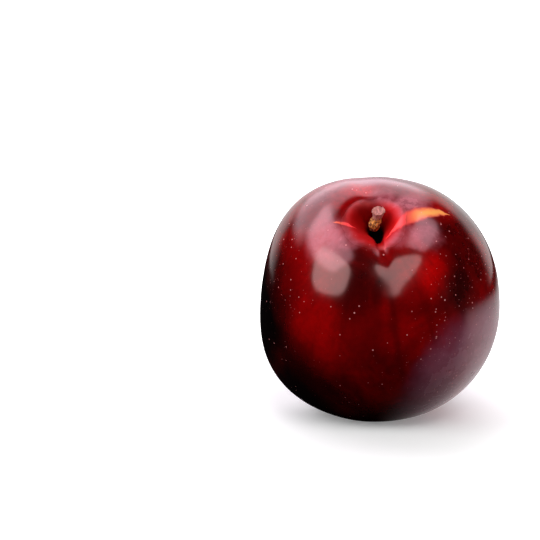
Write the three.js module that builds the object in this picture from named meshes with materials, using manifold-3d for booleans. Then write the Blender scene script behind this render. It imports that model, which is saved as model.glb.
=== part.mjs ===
// A round red-black plum at rest: one grown fruit with a stem cavity, a seam and a flat rest spot,
// and the short torn stub of stalk left standing in the cavity.
// Millimetres, +Z up, seam and stem cavity turned toward -Y, origin in the middle of the rest spot.
import * as THREE from "three";
import Module from "manifold-3d";

// ---- body of the fruit, in its own frame: stem end up, seam toward -Y ----
const CHEEK_RADIUS = 30.1; // half the width across the two cheeks
const SEAM_RADIUS = 32.6; // half the depth from the seam to the back
const POLAR_RADIUS = 31.6; // half the height from stem end to blossom end
const ROUNDNESS = 2.03; // 2 is an ellipsoid, more is squarer

// ---- gentle swellings and flats that make this fruit uneven, by direction in the resting frame ----
const LEFT_SHOULDER = { azimuth: -100, elevation: 42, spread: 40, height: 3.0 };
const LEFT_WAIST = { azimuth: -80, elevation: 12, spread: 38, height: -1.3 };
const LEFT_BASE = { azimuth: -86, elevation: -32, spread: 38, height: 4.1 };
const RIGHT_BASE = { azimuth: 88, elevation: -34, spread: 28, height: 0.5 };
const BACK_CROWN = { azimuth: 180, elevation: 80, spread: 36, height: -0.8 };
const BACK_LEFT_CROWN = { azimuth: -150, elevation: 68, spread: 30, height: -0.9 };
const LEFT = [LEFT_SHOULDER, LEFT_WAIST, LEFT_BASE];
const SWELLINGS = [...LEFT, RIGHT_BASE, BACK_CROWN, BACK_LEFT_CROWN];

// ---- stem cavity ----
const CAVITY_LEVEL = 26; // distance from the middle of the fruit at which cavity widths are measured
const BOWL_DEPTH = 2.2; // wide shallow bowl around the stalk
const BOWL_SPREAD = 9.0; // radius at which the bowl has risen by two thirds
const THROAT_DEPTH = 5.6; // steeper hollow inside the bowl
const THROAT_SPREAD = 3.9;
const THROAT_WALL = 2.6; // exponent: higher is a steeper wall
const THROAT_STRETCH = 1.4; // how much longer it is on the seam side
const PIT_DEPTH = 3.2; // narrow hole at the foot of the stalk, shaped like a drop
const PIT_HALF_WIDTH = 2.3;
const PIT_NARROWING = 0.65; // share of that width lost toward the seam
const PIT_BACK_REACH = 3.1;
const PIT_SEAM_REACH = 7.6;
const PIT_WALL = 5; // exponent: higher is a steeper wall

// ---- seam, running from the cavity down the front and under the fruit ----
const SEAM_TURN = 6; // degrees round the stem axis, toward the right
const CREASE_DEPTH = 0.5; // crease where the seam leaves the cavity, narrowing to nothing
const CREASE_HALF_WIDTH = 2.2;
const CREASE_NARROWING = 0.5; // share of that width lost by its end
const CREASE_END = 0.62; // radians from the stem end
const FURROW_DEPTH = 0.35; // broad shallow furrow either side of the crease
const FURROW_HALF_WIDTH = 7.0;
const FURROW_KEPT = 0.4; // share of the furrow still there at the blossom end
const FADE_START = 0.5; // radians from the stem end
const FADE_END = 2.3;
const BACK_NOTCH_DEPTH = 0.7; // where the seam line leaves the cavity at the back
const BACK_NOTCH_HALF_WIDTH = 3.0;
const BACK_NOTCH_START = 0.35;
const BACK_NOTCH_END = 0.95;
const SEAM_RISE_START = 0.05;
const SEAM_RISE_END = 0.3;
const SEAM_SIDE = 0.35; // share of the radius over which the seam fades in across the stem axis

// ---- blossom end ----
const BLOSSOM_DIMPLE_DEPTH = 0.55;
const BLOSSOM_DIMPLE_SPREAD = 0.13; // radians

// ---- how the fruit rests ----
const STEM_TILT = 36.5; // degrees the stem end leans toward the front
const STEM_LEAN = -6; // degrees it leans to the left
const REST_PRESS = 1.35; // how much of the round underside the rest spot takes away

// ---- stalk stub ----
const STUB_GAP = 0.3; // clear of the fruit all round
const STUB_FOOT_RADIUS = 1.2;
const STUB_WAIST_RADIUS = 1.35;
const STUB_HEAD_RADIUS = 1.8;
const STUB_LENGTH = 5.7;
const STUB_WAIST_AT = 0.45; // share of its length
const STUB_BACKSET = 0.8; // its foot stands back from the stem axis, away from the seam
const STUB_BEND = 0.2; // its head leans back by this
const STUB_SIDESET = 0.4; // its foot stands to the right of the axis
const STUB_SIDE_LEAN = 1.0; // and its head further right
const STUB_FLUTES = 5; // ridges round it where the fibres tore
const STUB_FLUTE_DEPTH = 0.14;
const STUB_TORN_RISE = 0.5; // the torn top stands higher at the back
const STUB_TORN_DISH = 0.35; // and is hollow in the middle

// ---- mesh fineness ----
const ROUND_STEPS = 72;
const CAVITY_RINGS = 19;
const CAVITY_LIMIT = 0.62; // radians from the stem end where the finer rings stop
const CAVITY_CROWDING = 1.4; // how much the rings crowd toward the pit
const BODY_RINGS = 26;
const STUB_ROUND_STEPS = 30;
const STUB_RINGS = 9;
const STUB_TOP_RINGS = 3;

const radians = THREE.MathUtils.degToRad;
const smooth = THREE.MathUtils.smoothstep;

const restingTurn = new THREE.Matrix4()
  .makeRotationY(radians(STEM_LEAN))
  .multiply(new THREE.Matrix4().makeRotationX(radians(STEM_TILT)));

// A unit direction in the resting frame: azimuth from the front toward the right, elevation above level.
function directionOf(azimuth, elevation) {
  const turn = radians(azimuth);
  const rise = radians(elevation);
  const level = Math.cos(rise);
  return new THREE.Vector3(Math.sin(turn) * level, -Math.cos(turn) * level, Math.sin(rise));
}

const swellings = SWELLINGS.map((one) => ({
  toward: directionOf(one.azimuth, one.elevation),
  spread: radians(one.spread),
  height: one.height,
}));

// A bell that is 1 at the middle and falls away by the half width.
function bell(distance, halfWidth) {
  return Math.exp(-((distance / halfWidth) ** 2));
}

function bodyRadius(way) {
  const cheek = Math.abs(way.x / CHEEK_RADIUS) ** ROUNDNESS;
  const round = Math.hypot(way.y / SEAM_RADIUS, way.z / POLAR_RADIUS) ** ROUNDNESS;
  return (cheek + round) ** (-1 / ROUNDNESS);
}

function swellingAt(way) {
  const resting = way.clone().applyMatrix4(restingTurn);
  return swellings.reduce(
    (sum, one) => sum + one.height * bell(resting.angleTo(one.toward), one.spread),
    0,
  );
}

function cavityDepth(across, along) {
  const bowl = BOWL_DEPTH * bell(Math.hypot(across, along), BOWL_SPREAD);
  const drawnOut = Math.hypot(across, along > 0 ? along / THROAT_STRETCH : along);
  const throat = THROAT_DEPTH * Math.exp(-((drawnOut / THROAT_SPREAD) ** THROAT_WALL));
  const narrowing = 1 - PIT_NARROWING * smooth(along, 0, PIT_SEAM_REACH);
  const pitSide = Math.abs(across / (PIT_HALF_WIDTH * narrowing)) ** PIT_WALL;
  const pitEnd = Math.abs(along / (along > 0 ? PIT_SEAM_REACH : PIT_BACK_REACH)) ** PIT_WALL;
  return bowl + throat + PIT_DEPTH * Math.exp(-pitSide - pitEnd);
}

function seamDepth(side, front, polar) {
  const start = smooth(polar, SEAM_RISE_START, SEAM_RISE_END);
  const fade = 1 - smooth(polar, FADE_START, FADE_END);
  const ending = smooth(polar, SEAM_RISE_END, CREASE_END);
  const creaseWidth = CREASE_HALF_WIDTH * (1 - CREASE_NARROWING * ending);
  const crease = CREASE_DEPTH * (1 - ending) * bell(side, creaseWidth);
  const furrow = FURROW_DEPTH * bell(side, FURROW_HALF_WIDTH);
  const kept = FURROW_KEPT + (1 - FURROW_KEPT) * fade;
  const ahead = smooth(front, 0, SEAM_SIDE) * (crease + kept * furrow);
  const ended = 1 - smooth(polar, BACK_NOTCH_START, BACK_NOTCH_END);
  const behind = smooth(-front, 0, SEAM_SIDE) * ended;
  return start * (ahead + behind * BACK_NOTCH_DEPTH * bell(side, BACK_NOTCH_HALF_WIDTH));
}

// Distance from the middle of the fruit to its skin along a unit direction in the fruit's own frame.
function skinRadius(way) {
  const polar = Math.acos(THREE.MathUtils.clamp(way.z, -1, 1));
  const turned = way.clone().applyAxisAngle(new THREE.Vector3(0, 0, 1), radians(-SEAM_TURN));
  const body = bodyRadius(way) + swellingAt(way);
  const reach = polar * CAVITY_LEVEL;
  const level = Math.hypot(turned.x, turned.y) || 1;
  const across = (reach * turned.x) / level;
  const along = (-reach * turned.y) / level;
  const cavity = cavityDepth(across, along);
  const seam = seamDepth(turned.x * body, -turned.y, polar);
  const blossom = BLOSSOM_DIMPLE_DEPTH * bell(Math.PI - polar, BLOSSOM_DIMPLE_SPREAD);
  return body - cavity - seam - blossom;
}

// Rings from the stem end to the blossom end, finer inside the cavity.
function ringAngles() {
  const inner = Array.from(
    { length: CAVITY_RINGS },
    (_, i) => CAVITY_LIMIT * ((i + 1) / CAVITY_RINGS) ** CAVITY_CROWDING,
  );
  const rest = Math.PI - CAVITY_LIMIT;
  const outer = Array.from(
    { length: BODY_RINGS - 1 },
    (_, i) => CAVITY_LIMIT + (rest * (i + 1)) / BODY_RINGS,
  );
  return [...inner, ...outer];
}

// A closed surface from a start point, rings of equal count, and an end point.
function closedSurface(first, rings, last) {
  const steps = rings[0].length;
  const points = [first, ...rings.flat(), last];
  const faces = [];
  const at = (ring, step) => 1 + ring * steps + (step % steps);
  const end = points.length - 1;
  for (let step = 0; step < steps; step += 1) {
    faces.push(0, at(0, step), at(0, step + 1));
    for (let ring = 0; ring + 1 < rings.length; ring += 1) {
      faces.push(at(ring, step), at(ring + 1, step), at(ring + 1, step + 1));
      faces.push(at(ring, step), at(ring + 1, step + 1), at(ring, step + 1));
    }
    faces.push(at(rings.length - 1, step), end, at(rings.length - 1, step + 1));
  }
  const geometry = new THREE.BufferGeometry().setFromPoints(points);
  geometry.setIndex(faces);
  return geometry;
}

function skinPoint(polar, turn) {
  const level = Math.sin(polar);
  const way = new THREE.Vector3(level * Math.sin(turn), -level * Math.cos(turn), Math.cos(polar));
  return way.multiplyScalar(skinRadius(way));
}

function grownFruit() {
  const rings = ringAngles().map((polar) =>
    Array.from({ length: ROUND_STEPS }, (_, i) => skinPoint(polar, (2 * Math.PI * i) / ROUND_STEPS)),
  );
  const fruit = closedSurface(skinPoint(0, 0), rings, skinPoint(Math.PI, 0));
  return fruit.applyMatrix4(restingTurn);
}

const solids = await Module();
solids.setup();

function toSolid(geometry) {
  return new solids.Manifold(
    new solids.Mesh({
      numProp: 3,
      vertProperties: Float32Array.from(geometry.attributes.position.array),
      triVerts: Uint32Array.from(geometry.index.array),
    }),
  );
}

function toGeometry(solid) {
  const mesh = solid.getMesh();
  const geometry = new THREE.BufferGeometry();
  geometry.setAttribute("position", new THREE.BufferAttribute(mesh.vertProperties, mesh.numProp));
  geometry.setIndex(new THREE.BufferAttribute(mesh.triVerts, 1));
  geometry.computeVertexNormals();
  return geometry;
}

// Where the underside is pressed flat, and the middle of that flat, so both nodes can be set on it.
function restingPlace(round) {
  const low = round.boundingBox().min[2] + REST_PRESS;
  const outline = round.slice(low).bounds();
  const middle = (axis) => (outline.min[axis] + outline.max[axis]) / 2;
  return new THREE.Vector3(middle(0), middle(1), low);
}

// Half the stub's width at a share of its length, waisted like a stalk that flares at both ends.
function stubRadius(share) {
  const lower = smooth(share, 0, STUB_WAIST_AT);
  const upper = smooth(share, STUB_WAIST_AT, 1);
  const foot = THREE.MathUtils.lerp(STUB_FOOT_RADIUS, STUB_WAIST_RADIUS, lower);
  return foot + (STUB_HEAD_RADIUS - STUB_WAIST_RADIUS) * upper;
}

function stubRing(share, inward, sink) {
  const radius = stubRadius(share) * inward;
  return Array.from({ length: STUB_ROUND_STEPS }, (_, i) => {
    const turn = (2 * Math.PI * i) / STUB_ROUND_STEPS;
    const flute = 1 - STUB_FLUTE_DEPTH * (0.5 + 0.5 * Math.cos(STUB_FLUTES * turn)) * share;
    const out = radius * flute;
    const back = out * Math.cos(turn) + STUB_BEND * share * share;
    const torn = STUB_TORN_RISE * share * share * ((out * Math.cos(turn)) / STUB_HEAD_RADIUS);
    const side = STUB_SIDE_LEAN * share - out * Math.sin(turn);
    return new THREE.Vector3(side, back, STUB_LENGTH * share + torn - sink);
  });
}

function stalkStub() {
  const sides = Array.from({ length: STUB_RINGS + 1 }, (_, i) => stubRing(i / STUB_RINGS, 1, 0));
  const tops = Array.from({ length: STUB_TOP_RINGS }, (_, i) => {
    const inward = 1 - (i + 1) / (STUB_TOP_RINGS + 1);
    return stubRing(1, inward, STUB_TORN_DISH * (1 - inward * inward));
  });
  const crown = new THREE.Vector3(STUB_SIDE_LEAN, STUB_BEND, STUB_LENGTH - STUB_TORN_DISH);
  const rings = [...tops.reverse(), ...sides.reverse()];
  return closedSurface(crown, rings, new THREE.Vector3(0, 0, 0));
}

// Height of the pit floor over a point beside the stem axis.
function floorHeight(x, y) {
  const level = skinRadius(new THREE.Vector3(0, 0, 1));
  const way = new THREE.Vector3(x, y, level).normalize();
  return way.z * skinRadius(way);
}

// The foot of the stub stands just clear of the highest bit of pit floor under it, behind the stem axis.
function stubPlace() {
  const under = stubRing(0, 1, 0).map((edge) =>
    floorHeight(edge.x + STUB_SIDESET, edge.y + STUB_BACKSET),
  );
  const foot = new THREE.Vector3(STUB_SIDESET, STUB_BACKSET, Math.max(...under) + STUB_GAP);
  return new THREE.Matrix4().makeRotationZ(radians(SEAM_TURN)).multiply(
    new THREE.Matrix4().makeTranslation(foot.x, foot.y, foot.z),
  );
}

const round = toSolid(grownFruit());
const place = restingPlace(round);
const pressed = round.trimByPlane([0, 0, 1], place.z);
const stub = toSolid(stalkStub().applyMatrix4(stubPlace()).applyMatrix4(restingTurn));

function node(name, solid, material) {
  const geometry = toGeometry(solid);
  geometry.translate(-place.x, -place.y, -place.z);
  const mesh = new THREE.Mesh(geometry, material);
  mesh.name = name;
  return mesh;
}

const skin = new THREE.MeshStandardMaterial({ color: 0x7a0d18, roughness: 0.22, metalness: 0 });
const cork = new THREE.MeshStandardMaterial({ color: 0x9c6a34, roughness: 0.85, metalness: 0 });

const plum = new THREE.Group();
plum.name = "plum";
plum.add(node("fruit", pressed, skin));
plum.add(node("stalk_stub", stub, cork));

export default plum;
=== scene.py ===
import math
import bpy
import numpy as np
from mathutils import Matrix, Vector, noise


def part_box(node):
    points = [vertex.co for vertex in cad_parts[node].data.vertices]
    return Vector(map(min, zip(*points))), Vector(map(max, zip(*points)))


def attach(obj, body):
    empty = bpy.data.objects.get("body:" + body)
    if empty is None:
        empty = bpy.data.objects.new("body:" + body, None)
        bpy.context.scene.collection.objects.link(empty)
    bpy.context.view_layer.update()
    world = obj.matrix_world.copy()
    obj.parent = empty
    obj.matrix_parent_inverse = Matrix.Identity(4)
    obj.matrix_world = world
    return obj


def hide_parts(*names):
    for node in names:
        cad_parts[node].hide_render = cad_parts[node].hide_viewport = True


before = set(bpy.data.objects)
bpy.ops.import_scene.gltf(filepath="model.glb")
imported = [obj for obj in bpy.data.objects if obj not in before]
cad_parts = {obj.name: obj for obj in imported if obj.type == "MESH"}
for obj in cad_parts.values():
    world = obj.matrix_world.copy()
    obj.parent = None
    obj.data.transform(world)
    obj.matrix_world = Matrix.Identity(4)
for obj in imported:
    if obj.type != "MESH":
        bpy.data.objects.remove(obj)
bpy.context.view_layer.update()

mm = 0.001
print("plum: frame loaded")

# the fruit's shape, in millimetres and degrees, in its own frame: stem end up, seam toward -Y
fruitShape = {
    "cheekRadius": 30.1, "seamRadius": 32.6, "polarRadius": 31.6, "roundness": 2.03,
    "stemTilt": 36.5, "stemLean": -6.0, "restPress": 1.35, "restSoftness": 0.35,
    "roundSteps": 384, "cavityRings": 96, "bodyRings": 112, "cavityLimit": 0.62, "cavityCrowding": 1.35,
    "lumpHeight": 0.16, "lumpSize": 13.0, "rippleHeight": 0.035, "rippleSize": 4.5, "ripplePlace": 7,
}

# uneven swellings and flats, by direction in the resting frame
swellings = [
    {"azimuth": -100, "elevation": 42, "spread": 40, "height": 3.0},  # left shoulder
    {"azimuth": -80, "elevation": 12, "spread": 38, "height": -1.3},  # left waist
    {"azimuth": -86, "elevation": -32, "spread": 38, "height": 4.1},  # left base
    {"azimuth": 88, "elevation": -34, "spread": 28, "height": 0.5},  # right base
    {"azimuth": 180, "elevation": 80, "spread": 36, "height": -0.8},  # back of the crown
    {"azimuth": -150, "elevation": 68, "spread": 30, "height": -0.9},  # back left of the crown
]

cavity = {
    "level": 26.0, "bowlDepth": 2.2, "bowlSpread": 9.0,
    "throatDepth": 5.6, "throatSpread": 3.9, "throatWall": 2.6, "throatStretch": 1.4,
    "pitDepth": 3.2, "pitHalfWidth": 2.3, "pitNarrowing": 0.65,
    "pitBackReach": 3.1, "pitSeamReach": 7.6, "pitWall": 5.0,
}

seam = {
    "turn": 6.0, "creaseDepth": 0.5, "creaseHalfWidth": 2.2, "creaseNarrowing": 0.5, "creaseEnd": 0.62,
    "furrowDepth": 0.35, "furrowHalfWidth": 7.0, "furrowKept": 0.4,
    "fadeStart": 0.5, "fadeEnd": 2.3, "riseStart": 0.05, "riseEnd": 0.3, "side": 0.35,
    "notchDepth": 0.7, "notchHalfWidth": 3.0, "notchStart": 0.35, "notchEnd": 0.95,
}

blossomEnd = {"dimpleDepth": 0.55, "dimpleSpread": 0.13}


def smooth(value, low, high):
    share = np.clip((value - low) / (high - low), 0.0, 1.0)
    return share * share * (3 - 2 * share)


def bell(distance, halfWidth):
    return np.exp(-(distance / halfWidth) ** 2)


def directionOf(azimuth, elevation):
    turn, rise = math.radians(azimuth), math.radians(elevation)
    return np.array([math.sin(turn) * math.cos(rise), -math.cos(turn) * math.cos(rise), math.sin(rise)])


def restingTurn():
    lean, tilt = math.radians(fruitShape["stemLean"]), math.radians(fruitShape["stemTilt"])
    aroundY = np.array([[math.cos(lean), 0, math.sin(lean)], [0, 1, 0], [-math.sin(lean), 0, math.cos(lean)]])
    aroundX = np.array([[1, 0, 0], [0, math.cos(tilt), -math.sin(tilt)], [0, math.sin(tilt), math.cos(tilt)]])
    return aroundY @ aroundX


turnToRest = restingTurn()


def bodyRadius(ways):
    power = fruitShape["roundness"]
    cheek = np.abs(ways[:, 0] / fruitShape["cheekRadius"]) ** power
    rest = np.hypot(ways[:, 1] / fruitShape["seamRadius"], ways[:, 2] / fruitShape["polarRadius"]) ** power
    return (cheek + rest) ** (-1 / power)


def swellingHeight(ways):
    resting = ways @ turnToRest.T
    total = np.zeros(len(ways))
    for one in swellings:
        apart = np.arccos(np.clip(resting @ directionOf(one["azimuth"], one["elevation"]), -1, 1))
        total += one["height"] * bell(apart, math.radians(one["spread"]))
    return total


def cavityDepth(across, along):
    bowl = cavity["bowlDepth"] * bell(np.hypot(across, along), cavity["bowlSpread"])
    drawnOut = np.hypot(across, np.where(along > 0, along / cavity["throatStretch"], along))
    throat = cavity["throatDepth"] * np.exp(-(drawnOut / cavity["throatSpread"]) ** cavity["throatWall"])
    width = cavity["pitHalfWidth"] * (1 - cavity["pitNarrowing"] * smooth(along, 0, cavity["pitSeamReach"]))
    reach = np.where(along > 0, cavity["pitSeamReach"], cavity["pitBackReach"])
    pit = np.exp(-np.abs(across / width) ** cavity["pitWall"] - np.abs(along / reach) ** cavity["pitWall"])
    return bowl + throat + cavity["pitDepth"] * pit


def seamDepth(side, front, polar):
    start = smooth(polar, seam["riseStart"], seam["riseEnd"])
    fade = 1 - smooth(polar, seam["fadeStart"], seam["fadeEnd"])
    ending = smooth(polar, seam["riseEnd"], seam["creaseEnd"])
    creaseWidth = seam["creaseHalfWidth"] * (1 - seam["creaseNarrowing"] * ending)
    crease = seam["creaseDepth"] * (1 - ending) * bell(side, creaseWidth)
    furrow = seam["furrowDepth"] * bell(side, seam["furrowHalfWidth"])
    kept = seam["furrowKept"] + (1 - seam["furrowKept"]) * fade
    ahead = smooth(front, 0, seam["side"]) * (crease + kept * furrow)
    ended = 1 - smooth(polar, seam["notchStart"], seam["notchEnd"])
    behind = smooth(-front, 0, seam["side"]) * ended * seam["notchDepth"] * bell(side, seam["notchHalfWidth"])
    return start * (ahead + behind)


# distance from the middle of the fruit to its skin, along unit directions in the fruit's own frame
def skinRadius(ways):
    leastLevel = 1e-9
    polar = np.arccos(np.clip(ways[:, 2], -1, 1))
    turn = math.radians(-seam["turn"])
    turnedX = ways[:, 0] * math.cos(turn) - ways[:, 1] * math.sin(turn)
    turnedY = ways[:, 0] * math.sin(turn) + ways[:, 1] * math.cos(turn)
    body = bodyRadius(ways) + swellingHeight(ways)
    level = np.maximum(np.hypot(turnedX, turnedY), leastLevel)
    reach = polar * cavity["level"]
    hollow = cavityDepth(reach * turnedX / level, -reach * turnedY / level)
    crease = seamDepth(turnedX * body, -turnedY, polar)
    dimple = blossomEnd["dimpleDepth"] * bell(math.pi - polar, blossomEnd["dimpleSpread"])
    return body - hollow - crease - dimple


# angles from the stem end, closer together inside the cavity
def ringAngles():
    limit, crowding = fruitShape["cavityLimit"], fruitShape["cavityCrowding"]
    cavityRings, bodyRings = fruitShape["cavityRings"], fruitShape["bodyRings"]
    inner = limit * (np.arange(1, cavityRings + 1) / cavityRings) ** crowding
    outer = limit + (math.pi - limit) * (np.arange(1, bodyRings) / bodyRings)
    return np.concatenate([inner, outer])


# one start point, rings of equal count, one end point
def closedMesh(name, points, ringCount, steps):
    faces = []
    last = 1 + ringCount * steps
    for step in range(steps):
        after = (step + 1) % steps
        faces.append((0, 1 + step, 1 + after))
        faces.append((1 + (ringCount - 1) * steps + step, last, 1 + (ringCount - 1) * steps + after))
    for ring in range(ringCount - 1):
        base = 1 + ring * steps
        for step in range(steps):
            after = (step + 1) % steps
            faces.append((base + step, base + steps + step, base + steps + after, base + after))
    mesh = bpy.data.meshes.new(name)
    mesh.from_pydata([tuple(p) for p in points], [], faces)
    mesh.update()
    for polygon in mesh.polygons:
        polygon.use_smooth = True
    piece = bpy.data.objects.new(name, mesh)
    bpy.context.scene.collection.objects.link(piece)
    return piece


# rounds the edge of the flat spot that the fruit rests on
def pressedFlat(height, softness):
    rounded = (height + softness) ** 2 / (4 * softness)
    return np.where(height <= -softness, 0.0, np.where(height >= softness, height, rounded))


def skinNoise(ways, span, size, offset=0):
    return np.array([noise.noise(Vector(way * span / size + offset)) for way in ways])


def fruitPoints():
    polar = ringAngles()
    steps = fruitShape["roundSteps"]
    turns = 2 * math.pi * np.arange(steps) / steps
    polarGrid, turnGrid = np.meshgrid(polar, turns, indexing="ij")
    ways = np.stack([np.sin(polarGrid) * np.sin(turnGrid), -np.sin(polarGrid) * np.cos(turnGrid),
                     np.cos(polarGrid)], -1).reshape(-1, 3)
    ways = np.concatenate([[[0, 0, 1.0]], ways, [[0, 0, -1.0]]])
    radius = skinRadius(ways)
    span = radius.mean()
    lumps = skinNoise(ways, span, fruitShape["lumpSize"])
    ripples = skinNoise(ways, span, fruitShape["rippleSize"], fruitShape["ripplePlace"])
    radius = radius + fruitShape["lumpHeight"] * lumps + fruitShape["rippleHeight"] * ripples
    points = (ways * radius[:, None]) @ turnToRest.T
    lifted = points[:, 2] - points[:, 2].min() - fruitShape["restPress"]
    points[:, 2] = pressedFlat(lifted, fruitShape["restSoftness"])
    return points, len(polar), steps


skinPoints, skinRings, skinSteps = fruitPoints()
fruitLow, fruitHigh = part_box("fruit")
wantedMiddle = np.array((fruitLow + fruitHigh) / 2) / mm
shift = wantedMiddle - (skinPoints.min(0) + skinPoints.max(0)) / 2
shift[2] = 0.0
fruit = closedMesh("plum_skin", (skinPoints + shift) * mm, skinRings, skinSteps)

underProbe = {"reach": 0.9, "rings": 60, "steps": 72}


# how far the smooth underside reaches below the middle of the fruit, before it is pressed flat
def undersideDrop():
    ways = np.stack([np.array([math.sin(a) * math.cos(b), math.sin(a) * math.sin(b), -math.cos(a)])
                     for a in np.linspace(0, underProbe["reach"], underProbe["rings"])
                     for b in np.linspace(0, 2 * math.pi, underProbe["steps"])])
    return (ways * skinRadius(ways @ turnToRest)[:, None])[:, 2].min()


# middle of the fruit, where its own frame has its origin
fruitMiddle = shift.copy()
fruitMiddle[2] = -undersideDrop() - fruitShape["restPress"]
print("plum: skin made, middle of the fruit at", fruitMiddle.round(2))

seamTurn = math.radians(seam["turn"])
fruitAxes = {
    "stem": turnToRest @ np.array([0, 0, 1.0]),
    "seam": turnToRest @ np.array([math.sin(seamTurn), -math.cos(seamTurn), 0]),
}
fruitAxes["side"] = -np.cross(fruitAxes["stem"], fruitAxes["seam"])

# the stalk stub, in millimetres: positions along it are shares of its length
stub = {
    "roundSteps": 96, "rings": 44, "topRings": 14, "footDepth": 0.3, "headDepth": 0.8, "footLift": 0.05,
    "radius": 1.15, "lumpSwell": 0.35, "lumpAt": 0.33, "lumpReach": 0.2, "headSwell": 0.42, "headFrom": 0.62,
    "footRound": 0.08, "footLeast": 0.02, "lowShift": 0.7, "shiftFrom": 0.3, "shiftTo": 0.75,
    "fibreDepth": 0.13, "fineShare": 0.6, "knobHeight": 0.26, "knobSize": 0.55, "knobRise": 4,
    "tornHeight": 0.4, "tornSize": 0.5, "tornFrom": 0.75, "dish": 0.35, "sink": 0.45, "sinkFrom": 0.7,
    "fibreNoise": (2.6, 0.9, 3), "fineNoise": (7.5, 2.2, 9), "tornNoise": 21,
}


def stubRadius(share):
    radius = stub["radius"] + stub["lumpSwell"] * bell(share - stub["lumpAt"], stub["lumpReach"])
    radius += stub["headSwell"] * smooth(share, stub["headFrom"], 1.0)
    if share < stub["footRound"]:
        radius *= math.sqrt(max(share / stub["footRound"], stub["footLeast"]))
    return radius


def ringNoise(ring, share, settings):
    around, along, offset = settings
    return noise.noise(Vector((ring.x * around, ring.y * around, share * along + offset)))


# middles of the stub's foot and head, from its CAD solid, and the height of its head along the stem
def stubEnds():
    stem = fruitAxes["stem"]
    source = np.array([v.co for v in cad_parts["stalk_stub"].data.vertices]) / mm
    heights = (source - fruitMiddle) @ stem
    foot, head = heights.min(), heights.max()
    footAt = source[heights < foot + stub["footDepth"]].mean(0)
    headAt = source[heights > head - stub["headDepth"]].mean(0)
    footAt = footAt + stem * (foot - (footAt - fruitMiddle) @ stem)
    headAt = headAt + stem * (head - (headAt - fruitMiddle) @ stem)
    return footAt, headAt, head


def makeStub():
    stem, side, back = fruitAxes["stem"], fruitAxes["side"], -fruitAxes["seam"]
    footAt, headAt, head = stubEnds()
    length = head - (footAt - fruitMiddle) @ stem
    rows = [(share, 1.0) for share in np.linspace(0, 1, stub["rings"])]
    rows += [(1.0, 1.0 - k / stub["topRings"]) for k in range(1, stub["topRings"])]
    points = [footAt + stem * stub["footLift"] + side * stub["lowShift"]]
    for share, inward in rows:
        radius = stubRadius(share)
        lower = 1 - smooth(share, stub["shiftFrom"], stub["shiftTo"])
        middle = footAt + (headAt - footAt) * share + side * stub["lowShift"] * lower
        sunk = stub["sink"] * smooth(share, stub["sinkFrom"], 1.0)
        for step in range(stub["roundSteps"]):
            turn = 2 * math.pi * step / stub["roundSteps"]
            ring = Vector((math.cos(turn), math.sin(turn), 0))
            fibre = ringNoise(ring, share, stub["fibreNoise"])
            fibre += stub["fineShare"] * ringNoise(ring, share, stub["fineNoise"])
            knob = noise.noise(Vector((ring.x * radius, ring.y * radius, share * length)) / stub["knobSize"])
            knob *= min(stub["knobRise"] * share, 1.0)
            rough = stub["fibreDepth"] * fibre + stub["knobHeight"] * knob
            spot = ring * (radius + rough) * inward
            tornAt = Vector((spot.x / stub["tornSize"], spot.y / stub["tornSize"], stub["tornNoise"]))
            lift = stub["tornHeight"] * noise.noise(tornAt) - stub["dish"] * (1 - inward * inward)
            lift = lift * smooth(share, stub["tornFrom"], 1.0) - sunk
            points.append(middle + side * spot.x + back * spot.y + stem * lift)
    points.append(headAt - stem * (stub["sink"] + stub["dish"]))
    return closedMesh("stalk_remnant", np.array(points) * mm, len(rows), stub["roundSteps"]), float(head)


stalk, stalkTop = makeStub()
print("plum: stalk made")


# shader node helpers
def newMaterial(name):
    made = bpy.data.materials.new(name)
    made.use_nodes = True
    made.node_tree.nodes.clear()
    return made


def feed(tree, socket, source):
    if isinstance(source, bpy.types.NodeSocket):
        tree.links.new(source, socket)
    else:
        socket.default_value = source


def addNode(tree, kind, links=None, **settings):
    node = tree.nodes.new(kind)
    for key, value in settings.items():
        setattr(node, key, value)
    for socket, source in (links or {}).items():
        feed(tree, node.inputs[socket], source)
    return node


def newGroup(name, inputs, outputs):
    group = bpy.data.node_groups.new(name, "ShaderNodeTree")
    for label, kind, value in inputs:
        socket = group.interface.new_socket(label, in_out="INPUT", socket_type=kind)
        if value is not None:
            socket.default_value = value
    for label, kind in outputs:
        group.interface.new_socket(label, in_out="OUTPUT", socket_type=kind)
    return group, group.nodes.new("NodeGroupInput"), group.nodes.new("NodeGroupOutput")


# an underscore in a keyword stands for the space in a socket's name
def useGroup(tree, group, **values):
    node = tree.nodes.new("ShaderNodeGroup")
    node.node_tree = group
    for label, value in values.items():
        feed(tree, node.inputs[label.replace("_", " ")], value)
    return node


def maths(tree, operation, first, second=0.0, clamp=False):
    node = addNode(tree, "ShaderNodeMath", {0: first, 1: second}, operation=operation, use_clamp=clamp)
    return node.outputs[0]


def times(tree, first, second):
    return maths(tree, "MULTIPLY", first, second)


def plus(tree, first, second):
    return maths(tree, "ADD", first, second)


def minus(tree, first, second):
    return maths(tree, "SUBTRACT", first, second)


def length2(tree, first, second):
    squares = [maths(tree, "POWER", value, 2.0) for value in (first, second)]
    return maths(tree, "SQRT", plus(tree, *squares))


def noiseAt(tree, place, scale, detail, roughness=0.5, distortion=0.0):
    node = addNode(tree, "ShaderNodeTexNoise", {"Vector": place, "Scale": scale, "Detail": detail,
                                                "Roughness": roughness, "Distortion": distortion})
    return node.outputs["Fac"]


# a noise value turned into a push either way
def sway(tree, value, width):
    return times(tree, minus(tree, value, 0.5), width)


def vectorMaths(tree, operation, first, second=(0, 0, 0)):
    node = addNode(tree, "ShaderNodeVectorMath", {0: first, 1: second}, operation=operation)
    return node.outputs["Value" if operation in ("DOT_PRODUCT", "LENGTH") else "Vector"]


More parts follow.
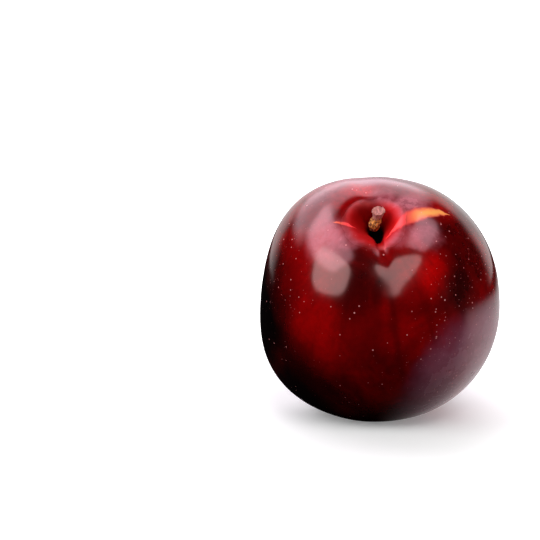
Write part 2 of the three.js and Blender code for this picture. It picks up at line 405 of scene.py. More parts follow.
# a mix node keeps one set of sockets per kind of data; these are the ones for colours
def mixColour(tree, factor, first, second):
    node = tree.nodes.new("ShaderNodeMix")
    node.data_type = "RGBA"
    for index, source in ((0, factor), (6, first), (7, second)):
        feed(tree, node.inputs[index], source)
    return node.outputs[2]


def ramp(tree, value, low, high, toLow=0.0, toHigh=1.0):
    node = addNode(tree, "ShaderNodeMapRange", {"Value": value, "From Min": low, "From Max": high,
                                                "To Min": toLow, "To Max": toHigh},
                   interpolation_type="SMOOTHSTEP")
    return node.outputs["Result"]


def colour(red, green, blue):
    return (red, green, blue, 1.0)


justUnderOne = 0.99999


# a soft patch round one direction from the middle of the fruit, with a ragged edge
def buildPatchGroup():
    detail, roughness = 4.0, 0.55
    group, given, out = newGroup("soft_patch", [
        ("Place", "NodeSocketVector", None), ("Toward", "NodeSocketVector", (0, 0, 1)),
        ("Reach", "NodeSocketFloat", 0.3), ("Edge", "NodeSocketFloat", 0.15),
        ("Ragged", "NodeSocketFloat", 0.1), ("Grain", "NodeSocketFloat", 3.0)], [("Mask", "NodeSocketFloat")])
    way = vectorMaths(group, "NORMALIZE", given.outputs["Place"])
    cosine = vectorMaths(group, "DOT_PRODUCT", way, given.outputs["Toward"])
    apart = maths(group, "ARCCOSINE", maths(group, "MINIMUM", cosine, justUnderOne))
    rough = noiseAt(group, way, given.outputs["Grain"], detail, roughness)
    apart = plus(group, apart, sway(group, rough, given.outputs["Ragged"]))
    inner = minus(group, given.outputs["Reach"], given.outputs["Edge"])
    outer = plus(group, given.outputs["Reach"], given.outputs["Edge"])
    group.links.new(ramp(group, apart, inner, outer, 1.0, 0.0), out.inputs["Mask"])
    return group


# where a point lies in the fruit's own frame: angle from the stem, and sideways and forward of the stem axis
def buildPlaceGroup():
    group, given, out = newGroup("fruit_place", [("Point", "NodeSocketVector", None)], [
        ("Place", "NodeSocketVector"), ("Polar", "NodeSocketFloat"), ("Side", "NodeSocketFloat"),
        ("Front", "NodeSocketFloat"), ("Height", "NodeSocketFloat")])
    moved = vectorMaths(group, "SUBTRACT", given.outputs["Point"], tuple(fruitMiddle * mm))
    place = addNode(group, "ShaderNodeVectorMath", {0: moved, "Scale": 1 / mm}, operation="SCALE").outputs[0]
    way = vectorMaths(group, "NORMALIZE", place)
    cosine = vectorMaths(group, "DOT_PRODUCT", way, tuple(fruitAxes["stem"]))
    cosine = maths(group, "MINIMUM", cosine, justUnderOne)
    group.links.new(place, out.inputs["Place"])
    group.links.new(maths(group, "ARCCOSINE", cosine), out.inputs["Polar"])
    for label, axis in (("Side", "side"), ("Front", "seam"), ("Height", "stem")):
        along = vectorMaths(group, "DOT_PRODUCT", place, tuple(fruitAxes[axis]))
        group.links.new(along, out.inputs[label])
    return group


# small pale breathing dots in the skin
def buildDotGroup():
    randomness, sizeSpread, core = 0.85, 0.45, 0.4
    group, given, out = newGroup("pale_dots", [
        ("Place", "NodeSocketVector", None), ("Spacing", "NodeSocketFloat", 2.0),
        ("Size", "NodeSocketFloat", 0.2), ("Share", "NodeSocketFloat", 0.5)], [("Mask", "NodeSocketFloat")])
    scale = maths(group, "DIVIDE", 1.0, given.outputs["Spacing"])
    cells = addNode(group, "ShaderNodeTexVoronoi", {"Vector": given.outputs["Place"], "Scale": scale,
                                                    "Randomness": randomness}, feature="F1")
    apart = times(group, cells.outputs["Distance"], given.outputs["Spacing"])
    pick = addNode(group, "ShaderNodeSeparateColor", {0: cells.outputs["Color"]})
    size = times(group, given.outputs["Size"], plus(group, pick.outputs[1], sizeSpread))
    chosen = maths(group, "LESS_THAN", pick.outputs[0], given.outputs["Share"])
    mask = ramp(group, apart, times(group, size, core), size, 1.0, 0.0)
    group.links.new(times(group, mask, chosen), out.inputs["Mask"])
    return group


# a tapering strip from the cavity out over the shoulder, bent toward the seam at its inner end
def buildStripGroup():
    bendLength, leastWidth = 9.5, 0.001
    maskShares, coreShares = (0.45, 1.0, 1.0, 0.0), (0.1, 0.85, 1.0, 0.0)
    group, given, out = newGroup("crest_strip", [
        ("Along", "NodeSocketFloat", 0.0), ("Across", "NodeSocketFloat", 0.0),
        ("Start", "NodeSocketFloat", 3.0), ("Widest", "NodeSocketFloat", 12.0),
        ("End", "NodeSocketFloat", 20.0), ("Half Width", "NodeSocketFloat", 2.0),
        ("Offset", "NodeSocketFloat", -2.0), ("Bend", "NodeSocketFloat", 11.4)],
        [("Mask", "NodeSocketFloat"), ("Core", "NodeSocketFloat")])
    along, widest = given.outputs["Along"], given.outputs["Widest"]
    falling = maths(group, "EXPONENT", maths(group, "DIVIDE", along, -bendLength))
    middleLine = plus(group, times(group, falling, given.outputs["Bend"]), given.outputs["Offset"])
    apart = maths(group, "ABSOLUTE", minus(group, given.outputs["Across"], middleLine))
    opening = ramp(group, along, given.outputs["Start"], widest)
    closing = maths(group, "SQRT", ramp(group, along, widest, given.outputs["End"], 1.0, 0.0))
    width = times(group, times(group, opening, closing), given.outputs["Half Width"])
    share = maths(group, "DIVIDE", apart, maths(group, "MAXIMUM", width, leastWidth))
    group.links.new(ramp(group, share, *maskShares), out.inputs["Mask"])
    group.links.new(ramp(group, share, *coreShares), out.inputs["Core"])
    return group


patchGroup = buildPatchGroup()
placeGroup = buildPlaceGroup()
dotGroup = buildDotGroup()
stripGroup = buildStripGroup()

# skin colours: the yellow and red strip colours also serve as a painted glint, the bloom colours as a painted
# reflection, and the pit and black colours as painted shade
skinLook = {
    "red": colour(0.30, 0.0004, 0.0010), "deep": colour(0.085, 0.0003, 0.0008),
    "bright": colour(0.62, 0.0008, 0.001), "black": colour(0.0015, 0.0003, 0.0005),
    "cavity": colour(0.44, 0.0006, 0.0010), "groundGlint": colour(1.0, 0.40, 0.10),
    "blushGlint": colour(0.95, 0.07, 0.07), "bloomSheen": colour(0.48, 0.20, 0.29),
    "pinkBloomSheen": colour(0.60, 0.15, 0.20), "violet": colour(0.16, 0.004, 0.035),
    "scar": colour(0.42, 0.24, 0.12), "pit": colour(0.003, 0.0015, 0.0015), "dot": colour(0.95, 0.36, 0.36),
    "none": colour(0, 0, 0),
    "lowBloomSheenShare": 0.58, "highBloomSheenShare": 0.8, "violetShare": 2.6, "cavityShare": 0.92, "dotShare": 0.7,
    "fewestDots": 0.08, "moreDots": 0.55, "fineDotShare": 0.35,
    "roughness": 0.13, "bloomRoughness": 0.2, "dotRoughness": 0.2, "cavityRoughness": 0.5,
    "pitRoughness": 0.64, "scarRoughness": 0.4, "cavityMetal": 0.9, "glow": 0.16,
    "grainHeight": 0.05, "dotHeight": 0.12, "bumpStrength": 0.25, "bumpDistance": 0.0002,
    "glossTint": colour(1.0, 0.58, 0.57), "glossIndex": 1.46, "glossLevel": 0.85,
}

# noise in the skin: scale, detail, roughness and distortion
skinGrain = {
    "cloud": (0.075, 5.0, 0.55, 0.4), "fleck": (0.9, 4.0, 0.65), "streak": (5.5, 4.0, 0.6),
    "haze": (0.22, 6.0, 0.6), "wobble": (0.42, 4.0), "bump": (3.2, 3.0, 0.6),
}

# how a noise, a distance or an angle becomes a mask: where it starts and ends, and the value at either end
skinRamps = {
    "cloud": (0.36, 0.66), "streak": (0.45, 0.7, 0.0, 0.4), "fleck": (0.35, 0.7, 0.0, 0.3),
    "lowHaze": (0.3, 0.7, 0.5, 1.0), "highHaze": (0.36, 0.62, 0.4, 1.0),
    "pit": (22.6, 25.0, 1.0, 0.0), "scar": (3.085, 3.105),
    "stemHalf": (5.0, 12.0), "groundGlintShare": (7.0, 13.0),
}

# the darker line of the seam and the red hollow round the stalk, in millimetres and, from the stem, radians
seamLook = {
    "sway": 3.0, "width": (0.1, 1.5, 0.55, 0.0), "front": (0.0, 4.0),
    "start": (0.5, 0.8), "end": (1.2, 2.4, 1.0, 0.0),
}
cavityLook = {
    "side": 0.3, "front": 0.8, "seamStretch": 0.74, "backStretch": -1.1, "sway": 2.5,
    "edge": (5.2, 9.0, 1.0, 0.0), "polar": (0.5, 0.7, 1.0, 0.0), "back": (-6.0, -1.0, 0.6, 0.0),
}
dotSizes = {"large": {"Spacing": 1.15, "Size": 0.20}, "fine": {"Spacing": 0.7, "Size": 0.12}}

# how far the ragged edge of each kind of patch wanders, in radians, and the scale of its noise
patchEdges = {
    "bright": (0.25, 2.5), "dark": (0.35, 2.2), "bloomSheen": (0.3, 1.7), "shoulder": (0.3, 3.5),
    "rubbed": (0.15, 5.0), "dotted": (0.2, 2.0),
}

# broad colour patches by direction in the resting frame: reach and edge in radians
brightPatches = [
    {"azimuth": 25, "elevation": 20, "reach": 0.15, "edge": 0.12, "amount": 0.95},
    {"azimuth": -36, "elevation": 70, "reach": 0.11, "edge": 0.07, "amount": 1.0},
    {"azimuth": 150, "elevation": 5, "reach": 0.3, "edge": 0.25, "amount": 0.4},
    {"azimuth": -28, "elevation": -2, "reach": 0.30, "edge": 0.3, "amount": 0.35},
    {"azimuth": 8, "elevation": -6, "reach": 0.16, "edge": 0.16, "amount": 0.25},
    {"azimuth": 62, "elevation": 30, "reach": 0.2, "edge": 0.2, "amount": 0.3},
    {"azimuth": 54, "elevation": 56, "reach": 0.16, "edge": 0.12, "amount": 0.6},
]
# the near-black patches on the left and lower left are painted shade
darkPatches = [
    {"azimuth": 38, "elevation": 14, "reach": 0.2, "edge": 0.14, "amount": 0.8},
    {"azimuth": -84, "elevation": -8, "reach": 0.58, "edge": 0.26, "amount": 1.0},
    {"azimuth": -56, "elevation": -42, "reach": 0.4, "edge": 0.3, "amount": 0.98},
    {"azimuth": 6, "elevation": 4, "reach": 0.1, "edge": 0.12, "amount": 0.45},
    {"azimuth": -10, "elevation": 14, "reach": 0.2, "edge": 0.14, "amount": 0.6},
    {"azimuth": -52, "elevation": 14, "reach": 0.2, "edge": 0.16, "amount": 0.45},
    {"azimuth": 50, "elevation": 28, "reach": 0.24, "edge": 0.14, "amount": 0.7},
]
# waxy bloom; the patch low on the right also stands in as a painted reflection of the table, and the one high
# at the back as a painted reflection of the lights above
bloomSheenPatches = [
    {"azimuth": 62, "elevation": -34, "reach": 0.60, "edge": 0.20, "amount": 1.0},
    {"azimuth": 165, "elevation": 5, "reach": 0.8, "edge": 0.35, "amount": 0.5},
    {"azimuth": -150, "elevation": 30, "reach": 0.4, "edge": 0.3, "amount": 0.5},
    {"azimuth": -170, "elevation": 66, "reach": 0.52, "edge": 0.18, "amount": 0.95},
]
# where the bloom has been rubbed off again
rubbedPatches = [
    {"azimuth": -37, "elevation": 70, "reach": 0.10, "edge": 0.08, "amount": 0.8},
    {"azimuth": 140, "elevation": -12, "reach": 0.22, "edge": 0.16, "amount": 0.6},
    {"azimuth": -178, "elevation": 32, "reach": 0.26, "edge": 0.18, "amount": 0.6},
    {"azimuth": 172, "elevation": -35, "reach": 0.22, "edge": 0.14, "amount": 0.5},
]
# waxy bloom broken into streaks on the shoulders round the cavity; its pink also stands in as a painted
# reflection of the lights above
shoulderBloomSheen = [
    {"azimuth": -33, "elevation": 37, "reach": 0.18, "edge": 0.10, "amount": 0.6},
    {"azimuth": -22, "elevation": 36, "reach": 0.10, "edge": 0.06, "amount": 0.8},
    {"azimuth": 10, "elevation": 38, "reach": 0.09, "edge": 0.06, "amount": 0.8},
    {"azimuth": 18, "elevation": 39, "reach": 0.11, "edge": 0.07, "amount": 0.8},
    {"azimuth": 27, "elevation": 40, "reach": 0.11, "edge": 0.08, "amount": 0.8},
    {"azimuth": -100, "elevation": 62, "reach": 0.35, "edge": 0.2, "amount": 0.7},
    {"azimuth": 24, "elevation": 59, "reach": 0.14, "edge": 0.08, "amount": 1.0},
    {"azimuth": 0, "elevation": 67, "reach": 0.11, "edge": 0.07, "amount": 0.8},
]
# where the breathing dots stand closest
dottedPatches = [
    {"azimuth": 55, "elevation": 18, "reach": 0.5, "edge": 0.25, "amount": 1.0},
    {"azimuth": 40, "elevation": -22, "reach": 0.5, "edge": 0.25, "amount": 1.0},
    {"azimuth": -60, "elevation": 10, "reach": 0.4, "edge": 0.25, "amount": 0.5},
    {"azimuth": 180, "elevation": 0, "reach": 1.1, "edge": 0.3, "amount": 0.8},
]
# yellow ground colour beside the cavity, which also stands in as a painted glint along the crests, in
# millimetres sideways from the stem axis
groundGlintStrips = {
    "right": {"Start": 1.0, "Widest": 9.5, "End": 19.2, "Half_Width": 3.0, "Offset": -2.4, "Bend": 11.8},
    "left": {"Start": 4.5, "Widest": 7.5, "End": 10.2, "Half_Width": 0.85, "Offset": -4.2, "Bend": 12.0},
}


def patchSum(tree, place, patches, ragged, grain):
    total = None
    for one in patches:
        patch = useGroup(tree, patchGroup, Place=place,
                         Toward=tuple(directionOf(one["azimuth"], one["elevation"])),
                         Reach=one["reach"], Edge=one["edge"], Ragged=ragged, Grain=grain)
        value = times(tree, patch.outputs["Mask"], one["amount"])
        total = value if total is None else maths(tree, "MAXIMUM", total, value)
    return total


# a thin darker line that follows the seam down the front
def seamLine(tree, here, cloud):
    apart = maths(tree, "ABSOLUTE", plus(tree, here.outputs["Side"], sway(tree, cloud, seamLook["sway"])))
    ahead = ramp(tree, here.outputs["Front"], *seamLook["front"])
    line = times(tree, ramp(tree, apart, *seamLook["width"]), ahead)
    line = times(tree, line, ramp(tree, here.outputs["Polar"], *seamLook["start"]))
    return times(tree, line, ramp(tree, here.outputs["Polar"], *seamLook["end"]))


# noise drawn out from the stem end to the blossom end
def streaksAlong(tree, here):
    stretch, leastLevel = 0.16, 0.1
    level = maths(tree, "MAXIMUM", length2(tree, here.outputs["Side"], here.outputs["Front"]), leastLevel)
    sideways, forward = (maths(tree, "DIVIDE", here.outputs[label], level) for label in ("Side", "Front"))
    roundAbout = addNode(tree, "ShaderNodeCombineXYZ", {
        "X": sideways, "Y": forward, "Z": times(tree, here.outputs["Polar"], stretch)})
    return noiseAt(tree, roundAbout.outputs[0], *skinGrain["streak"])


# colours under the bloom: clouds of red, streaks from end to end, and broad patches
def ripeColour(tree, here):
    place = here.outputs["Place"]
    cloud = noiseAt(tree, place, *skinGrain["cloud"])
    fleck = noiseAt(tree, place, *skinGrain["fleck"])
    streak = streaksAlong(tree, here)
    bright = patchSum(tree, place, brightPatches, *patchEdges["bright"])
    dark = patchSum(tree, place, darkPatches, *patchEdges["dark"])
    shade = mixColour(tree, ramp(tree, cloud, *skinRamps["cloud"]), skinLook["deep"], skinLook["red"])
    shade = mixColour(tree, bright, shade, skinLook["bright"])
    shade = mixColour(tree, ramp(tree, streak, *skinRamps["streak"]), shade, skinLook["deep"])
    shade = mixColour(tree, ramp(tree, fleck, *skinRamps["fleck"]), shade, skinLook["deep"])
    shade = mixColour(tree, seamLine(tree, here, cloud), shade, skinLook["deep"])
    # the dark patches mix in near-black: on the left and lower left this is painted shade
    return mixColour(tree, dark, shade, skinLook["black"])


# the yellow strips either side of the cavity, red where they start, and the mask of their yellow part; the
# strips are ground colour and also a painted glint along the crests
def groundGlintColour(tree, here, shade):
    swayWidth = 2.0
    wobble = noiseAt(tree, here.outputs["Place"], *skinGrain["wobble"])
    across = plus(tree, here.outputs["Front"], sway(tree, wobble, swayWidth))
    toRight = times(tree, here.outputs["Side"], -1.0)
    stemHalf = ramp(tree, here.outputs["Height"], *skinRamps["stemHalf"])
    total = None
    for along, name in ((toRight, "right"), (here.outputs["Side"], "left")):
        strip = useGroup(tree, stripGroup, Along=along, Across=across, **groundGlintStrips[name])
        blushGlint = times(tree, strip.outputs["Mask"], stemHalf)
        shade = mixColour(tree, blushGlint, shade, skinLook["blushGlint"])
        groundGlintShare = times(tree, strip.outputs["Core"], ramp(tree, along, *skinRamps["groundGlintShare"]))
        groundGlintShare = times(tree, groundGlintShare, stemHalf)
        shade = mixColour(tree, groundGlintShare, shade, skinLook["groundGlint"])
        total = groundGlintShare if total is None else maths(tree, "MAXIMUM", total, groundGlintShare)
    return shade, total


# the hollow round the stalk: an oval just in front of the stem axis that reaches further toward the seam
def cavityMask(tree, here, haze):
    sideways = minus(tree, here.outputs["Side"], cavityLook["side"])
    forward = minus(tree, here.outputs["Front"], cavityLook["front"])
    stretched = [times(tree, forward, cavityLook[name]) for name in ("seamStretch", "backStretch")]
    apart = length2(tree, sideways, maths(tree, "MAXIMUM", *stretched))
    apart = plus(tree, apart, sway(tree, haze, cavityLook["sway"]))
    inside = ramp(tree, apart, *cavityLook["edge"])
    return times(tree, inside, ramp(tree, here.outputs["Polar"], *cavityLook["polar"]))


# bloom low on the fruit and on its back, and bloom on its shoulders; both also stand in as painted
# reflection, of the table low down and of the lights above
def bloomSheenMasks(tree, place, haze):
    low = patchSum(tree, place, bloomSheenPatches, *patchEdges["bloomSheen"])
    low = times(tree, low, ramp(tree, haze, *skinRamps["lowHaze"]))
    high = patchSum(tree, place, shoulderBloomSheen, *patchEdges["shoulder"])
    high = times(tree, high, ramp(tree, haze, *skinRamps["highHaze"]))
    rubbed = patchSum(tree, place, rubbedPatches, *patchEdges["rubbed"])
    return times(tree, low, minus(tree, 1.0, rubbed)), high


# pale dots over the open skin, none in the cavity
def speckleMask(tree, place, inCavity):
    dotted = patchSum(tree, place, dottedPatches, *patchEdges["dotted"])
    share = plus(tree, skinLook["fewestDots"], times(tree, dotted, skinLook["moreDots"]))
    large = useGroup(tree, dotGroup, Place=place, Share=share, **dotSizes["large"])
    fine = useGroup(tree, dotGroup, Place=place, Share=share, **dotSizes["fine"])
    faint = times(tree, fine.outputs["Mask"], skinLook["fineDotShare"])
    dots = maths(tree, "MAXIMUM", large.outputs["Mask"], faint)
    return times(tree, dots, minus(tree, 1.0, inCavity))


def makeSkin():
    made = newMaterial("plum_skin")
    tree = made.node_tree
    here = useGroup(tree, placeGroup, Point=addNode(tree, "ShaderNodeTexCoord").outputs["Object"])
    place = here.outputs["Place"]
    haze = noiseAt(tree, place, *skinGrain["haze"])
    inCavity = cavityMask(tree, here, haze)
    lowBloomSheen, highBloomSheen = bloomSheenMasks(tree, place, haze)
    speckle = speckleMask(tree, place, inCavity)
    # the deep pit round the stalk is painted near-black: partly dark tissue, partly painted shade
    pit = ramp(tree, vectorMaths(tree, "LENGTH", place), *skinRamps["pit"])
    scar = ramp(tree, here.outputs["Polar"], *skinRamps["scar"])
    margin = times(tree, lowBloomSheen, minus(tree, 1.0, lowBloomSheen))
    # the hollow is painted darker toward its back wall: painted shade
    atBack = ramp(tree, here.outputs["Front"], *cavityLook["back"])
    hollow = mixColour(tree, atBack, skinLook["cavity"], skinLook["deep"])

    shade = ripeColour(tree, here)
    shade = mixColour(tree, times(tree, margin, skinLook["violetShare"]), shade, skinLook["violet"])
    shade = mixColour(tree, times(tree, lowBloomSheen, skinLook["lowBloomSheenShare"]), shade, skinLook["bloomSheen"])
    shade = mixColour(tree, times(tree, highBloomSheen, skinLook["highBloomSheenShare"]), shade, skinLook["pinkBloomSheen"])
    shade = mixColour(tree, times(tree, inCavity, skinLook["cavityShare"]), shade, hollow)
    shade, groundGlintShare = groundGlintColour(tree, here, shade)
    shade = mixColour(tree, times(tree, speckle, skinLook["dotShare"]), shade, skinLook["dot"])
    shade = mixColour(tree, pit, shade, skinLook["pit"])
    shade = mixColour(tree, scar, shade, skinLook["scar"])

    roughness = skinLook["roughness"]
    bloomSheen = maths(tree, "MAXIMUM", lowBloomSheen, highBloomSheen)
    for mask, name in ((bloomSheen, "bloomRoughness"), (speckle, "dotRoughness"), (inCavity, "cavityRoughness"),
                       (pit, "pitRoughness"), (scar, "scarRoughness")):
        roughness = plus(tree, roughness, times(tree, mask, skinLook[name]))
    height = times(tree, noiseAt(tree, place, *skinGrain["bump"]), skinLook["grainHeight"])
    height = plus(tree, height, times(tree, speckle, skinLook["dotHeight"]))
    bump = addNode(tree, "ShaderNodeBump", {
        "Height": height, "Strength": skinLook["bumpStrength"], "Distance": skinLook["bumpDistance"]})
    # the yellow strips also glow faintly through the emission: painted light
    shader = addNode(tree, "ShaderNodeBsdfPrincipled", {
        "Base Color": shade, "Roughness": roughness, "Normal": bump.outputs["Normal"],
        "Metallic": times(tree, inCavity, skinLook["cavityMetal"]),
        "Emission Color": mixColour(tree, groundGlintShare, skinLook["none"], skinLook["groundGlint"]),
        "Emission Strength": skinLook["glow"], "IOR": skinLook["glossIndex"],
        "Specular IOR Level": skinLook["glossLevel"], "Specular Tint": skinLook["glossTint"]})
    addNode(tree, "ShaderNodeOutputMaterial", {"Surface": shader.outputs[0]})
    return made


# corky fibres below, a paler top above; depths are millimetres below the top of the stalk
corkLook = {
    "dark": colour(0.16, 0.020, 0.006), "gold": colour(1.0, 0.40, 0.08), "pale": colour(1.0, 0.78, 0.60),
    "paleTop": colour(0.62, 0.24, 0.24), "paleTopStart": 2.7, "paleTopFull": 1.6, "paleTopShare": 0.85,
    "grain": (1.6, 6.0, 0.7), "speck": (4.5, 3.0, 0.6), "goldRamp": (0.42, 0.57), "paleRamp": (0.6, 0.72),
    "roughness": (0.3, 0.7, 0.9, 0.7), "speckHeight": 0.5, "bumpStrength": 0.7, "bumpDistance": 0.0004,
}


def makeCork():
    made = newMaterial("torn_cork")
    tree = made.node_tree
    here = useGroup(tree, placeGroup, Point=addNode(tree, "ShaderNodeTexCoord").outputs["Object"])
    grain = noiseAt(tree, here.outputs["Place"], *corkLook["grain"])
    speck = noiseAt(tree, here.outputs["Place"], *corkLook["speck"])
    shade = mixColour(tree, ramp(tree, grain, *corkLook["goldRamp"]), corkLook["dark"], corkLook["gold"])
    shade = mixColour(tree, ramp(tree, speck, *corkLook["paleRamp"]), shade, corkLook["pale"])
    paleTopFrom, paleTopTo = stalkTop - corkLook["paleTopStart"], stalkTop - corkLook["paleTopFull"]
    paleTop = ramp(tree, here.outputs["Height"], paleTopFrom, paleTopTo, 0.0, corkLook["paleTopShare"])
    shade = mixColour(tree, paleTop, shade, corkLook["paleTop"])
    height = plus(tree, grain, times(tree, speck, corkLook["speckHeight"]))
    bump = addNode(tree, "ShaderNodeBump", {
        "Height": height, "Strength": corkLook["bumpStrength"], "Distance": corkLook["bumpDistance"]})
    roughness = ramp(tree, speck, *corkLook["roughness"])
    shader = addNode(tree, "ShaderNodeBsdfPrincipled", {
        "Base Color": shade, "Roughness": roughness, "Normal": bump.outputs["Normal"]})
    addNode(tree, "ShaderNodeOutputMaterial", {"Surface": shader.outputs[0]})
    return made


fruit.data.materials.append(makeSkin())
stalk.data.materials.append(makeCork())
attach(fruit, "root"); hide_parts("fruit")
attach(stalk, "root"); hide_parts("stalk_stub")
print("plum: finishes on")

mauve, paleMauve = colour(1.0, 0.86, 1.02), colour(1.0, 0.90, 1.02)

# azimuth 0 is the front and 90 the right; edge is the soft share of a panel, foot the width left at its
# lower edge, lean how far that edge is pushed sideways; seenBy says what the panel lights
panels = [
    {"name": "boxLeft", "azimuth": -58, "elevation": 28, "distance": 0.60, "width": 0.47, "height": 0.41,
     "glow": 4.1, "edge": 0.08, "square": 3.2, "foot": 0.9, "lean": 0.06, "seenBy": "both"},
    {"name": "boxRight", "azimuth": 23, "elevation": 36, "distance": 0.60, "width": 0.42, "height": 0.42,
     "glow": 3.5, "edge": 0.06, "foot": 0.18, "lean": -0.72, "seenBy": "both"},
    {"name": "topLeft", "azimuth": -86, "elevation": 50, "distance": 0.80, "width": 1.0, "height": 0.66,
     "glow": 3.7, "edge": 0.30, "foot": 0.7, "lean": 0.35, "seenBy": "gloss", "tint": mauve},
    {"name": "topRight", "azimuth": 80, "elevation": 66, "distance": 0.80, "width": 0.56, "height": 0.40,
     "glow": 3.6, "edge": 0.35, "seenBy": "gloss", "tint": mauve},
    {"name": "topBack", "azimuth": -150, "elevation": 49, "distance": 0.90, "width": 1.7, "height": 0.92,
     "glow": 2.1, "edge": 0.35, "seenBy": "both", "tint": paleMauve},
    {"name": "fill", "azimuth": 20, "elevation": 48, "distance": 0.90, "width": 1.0, "height": 1.0,
     "glow": 1.7, "edge": 0.5, "square": 2.0, "seenBy": "skin"},
    {"name": "lowFill", "azimuth": 78, "elevation": 8, "distance": 0.50, "width": 0.5, "height": 0.2,
     "glow": 3.0, "edge": 0.5, "square": 2.0, "seenBy": "skin"},
]
plainPanel = {"square": 4.0, "foot": 1.0, "lean": 0.0, "tint": colour(1, 1, 1)}


# a panel that is bright in the middle, soft at its rounded edge, and narrower at its foot
def glowNodes(data, one):
    data.use_nodes = True
    tree = data.node_tree
    tree.nodes.clear()
    point = addNode(tree, "ShaderNodeNewGeometry").outputs["Parametric"]
    flat = addNode(tree, "ShaderNodeSeparateXYZ", {0: point})
    across = minus(tree, times(tree, flat.outputs["X"], 2.0), 1.0)
    down = minus(tree, 1.0, flat.outputs["Y"])
    room = ramp(tree, down, 0.0, 1.0, 1.0, one["foot"])
    across = minus(tree, across, times(tree, down, one["lean"]))
    across = maths(tree, "ABSOLUTE", maths(tree, "DIVIDE", across, room))
    upright = maths(tree, "ABSOLUTE", minus(tree, times(tree, down, 2.0), 1.0))
    powers = [maths(tree, "POWER", reach, one["square"]) for reach in (across, upright)]
    reach = maths(tree, "POWER", plus(tree, *powers), 1 / one["square"])
    strength = ramp(tree, reach, 1.0 - one["edge"], 1.0, one["glow"], 0.0)
    lit = addNode(tree, "ShaderNodeEmission", {"Color": one["tint"], "Strength": strength})
    addNode(tree, "ShaderNodeOutputLight", {"Surface": lit.outputs[0]})


def addPanel(one, target):
    data = bpy.data.lights.new(one["name"], "AREA")
    data.shape = "RECTANGLE"
    data.size, data.size_y = one["width"], one["height"]
    data.energy = math.pi * one["width"] * one["height"]  # a glow of 1 is then a brightness of 1
    glowNodes(data, one)
    light = bpy.data.objects.new(one["name"], data)
    light.location = target + Vector(directionOf(one["azimuth"], one["elevation"])) * one["distance"]
    light.rotation_euler = (target - light.location).to_track_quat("-Z", "Y").to_euler()
    light.visible_diffuse = one["seenBy"] != "gloss"
    light.visible_glossy = one["seenBy"] != "skin"
    bpy.context.scene.collection.objects.link(light)


for panel in panels:
    addPanel({**plainPanel, **panel}, Vector(fruitMiddle * mm))

# the world is white to the camera, and dark to the rest but for a backdrop behind the fruit
worldLook = {"seen": 1.2, "backdrop": 0.85, "dark": 0.002, "backdropStart": 0.62, "backdropFull": 0.82}


def makeWorld():
    world = bpy.data.worlds.new("studio")
    world.use_nodes = True
    tree = world.node_tree
    tree.nodes.clear()
    coords = addNode(tree, "ShaderNodeTexCoord")
    split = addNode(tree, "ShaderNodeSeparateXYZ", {0: coords.outputs["Generated"]})
    back = ramp(tree, split.outputs["Y"], worldLook["backdropStart"], worldLook["backdropFull"],
                worldLook["dark"], worldLook["backdrop"])
    seen = addNode(tree, "ShaderNodeLightPath").outputs["Is Camera Ray"]
    strength = plus(tree, times(tree, seen, worldLook["seen"]), times(tree, minus(tree, 1.0, seen), back))
    lit = addNode(tree, "ShaderNodeBackground", {"Color": colour(1, 1, 1), "Strength": strength})
    addNode(tree, "ShaderNodeOutputWorld", {"Surface": lit.outputs[0]})
    bpy.context.scene.world = world


makeWorld()

# a table that is white to the camera; its bounce and reflection are dark but for the part to the right and
# behind, in metres
tableLook = {
    "half": 1.6, "white": colour(0.86, 0.86, 0.86), "dark": colour(0.004, 0.004, 0.004),
    "lit": colour(0.1, 0.1, 0.1), "litGlow": 0.88, "litRight": (0.0, 0.03), "litBack": (-0.032, 0.008),
    "litFar": (0.12, 0.50), "oval": (1.5, 1.0, 1.0), "clear": (0.018, 0.13), "clearGlow": (0.20, 1.2),
}


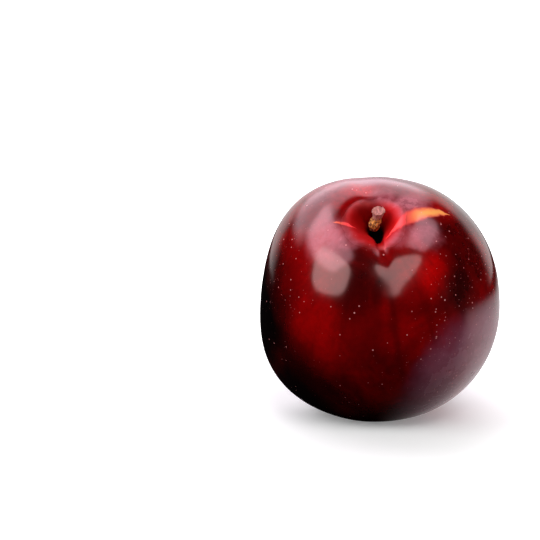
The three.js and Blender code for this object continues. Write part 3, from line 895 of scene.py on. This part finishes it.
def tableMaterial():
    made = newMaterial("table_white")
    tree = made.node_tree
    point = addNode(tree, "ShaderNodeTexCoord").outputs["Object"]
    spot = addNode(tree, "ShaderNodeSeparateXYZ", {0: point})
    lit = times(tree, ramp(tree, spot.outputs["X"], *tableLook["litRight"]),
                ramp(tree, spot.outputs["Y"], *tableLook["litBack"]))
    lit = times(tree, lit, ramp(tree, vectorMaths(tree, "LENGTH", point), *tableLook["litFar"], 1.0, 0.0))
    seen = addNode(tree, "ShaderNodeLightPath").outputs["Is Camera Ray"]
    bounce = mixColour(tree, lit, tableLook["dark"], tableLook["lit"])
    shade = mixColour(tree, seen, bounce, tableLook["white"])
    shader = addNode(tree, "ShaderNodeBsdfDiffuse", {"Color": shade})
    # the camera sees less glow near the fruit: a painted shadow round it, added to the lamps' own shadow
    apart = vectorMaths(tree, "LENGTH", vectorMaths(tree, "MULTIPLY", point, tableLook["oval"]))
    glow = times(tree, ramp(tree, apart, *tableLook["clear"], *tableLook["clearGlow"]), seen)
    behind = maths(tree, "MULTIPLY", lit, minus(tree, tableLook["litGlow"], seen), clamp=True)
    glow = plus(tree, glow, behind)
    white = addNode(tree, "ShaderNodeEmission", {"Color": colour(1, 1, 1), "Strength": glow})
    total = addNode(tree, "ShaderNodeAddShader", {0: shader.outputs[0], 1: white.outputs[0]})
    addNode(tree, "ShaderNodeOutputMaterial", {"Surface": total.outputs[0]})
    return made


def makeTable():
    half = tableLook["half"]
    corners = [(-half, -half, 0), (half, -half, 0), (half, half, 0), (-half, half, 0)]
    mesh = bpy.data.meshes.new("table")
    mesh.from_pydata(corners, [], [(0, 1, 2, 3)])
    mesh.materials.append(tableMaterial())
    table = bpy.data.objects.new("table", mesh)
    bpy.context.scene.collection.objects.link(table)
    return table


floor = makeTable()

# the camera, in degrees, metres and, for lens and sensor, millimetres
view = {
    "elevation": 10.0, "distance": 0.40, "lens": 101.7, "sensor": 36.0,
    "aimLeft": 0.0287, "aimAbove": 0.0066, "clipStart": 0.01, "clipEnd": 20.0,
}


def makeCamera():
    data = bpy.data.cameras.new("view")
    data.lens, data.sensor_width = view["lens"], view["sensor"]
    data.clip_start, data.clip_end = view["clipStart"], view["clipEnd"]
    camera = bpy.data.objects.new("view", data)
    rise = math.radians(view["elevation"])
    boxMiddle = (fruitLow + fruitHigh) / 2
    camera.location = boxMiddle + Vector((0, -math.cos(rise), math.sin(rise))) * view["distance"]
    aim = boxMiddle + Vector((-view["aimLeft"], 0, 0))
    aim += Vector((0, math.sin(rise), math.cos(rise))) * view["aimAbove"]
    camera.rotation_euler = (aim - camera.location).to_track_quat("-Z", "Y").to_euler()
    bpy.context.scene.collection.objects.link(camera)
    bpy.context.scene.camera = camera


makeCamera()
bpy.context.scene.view_settings.view_transform = "Standard"
print("plum: studio set")
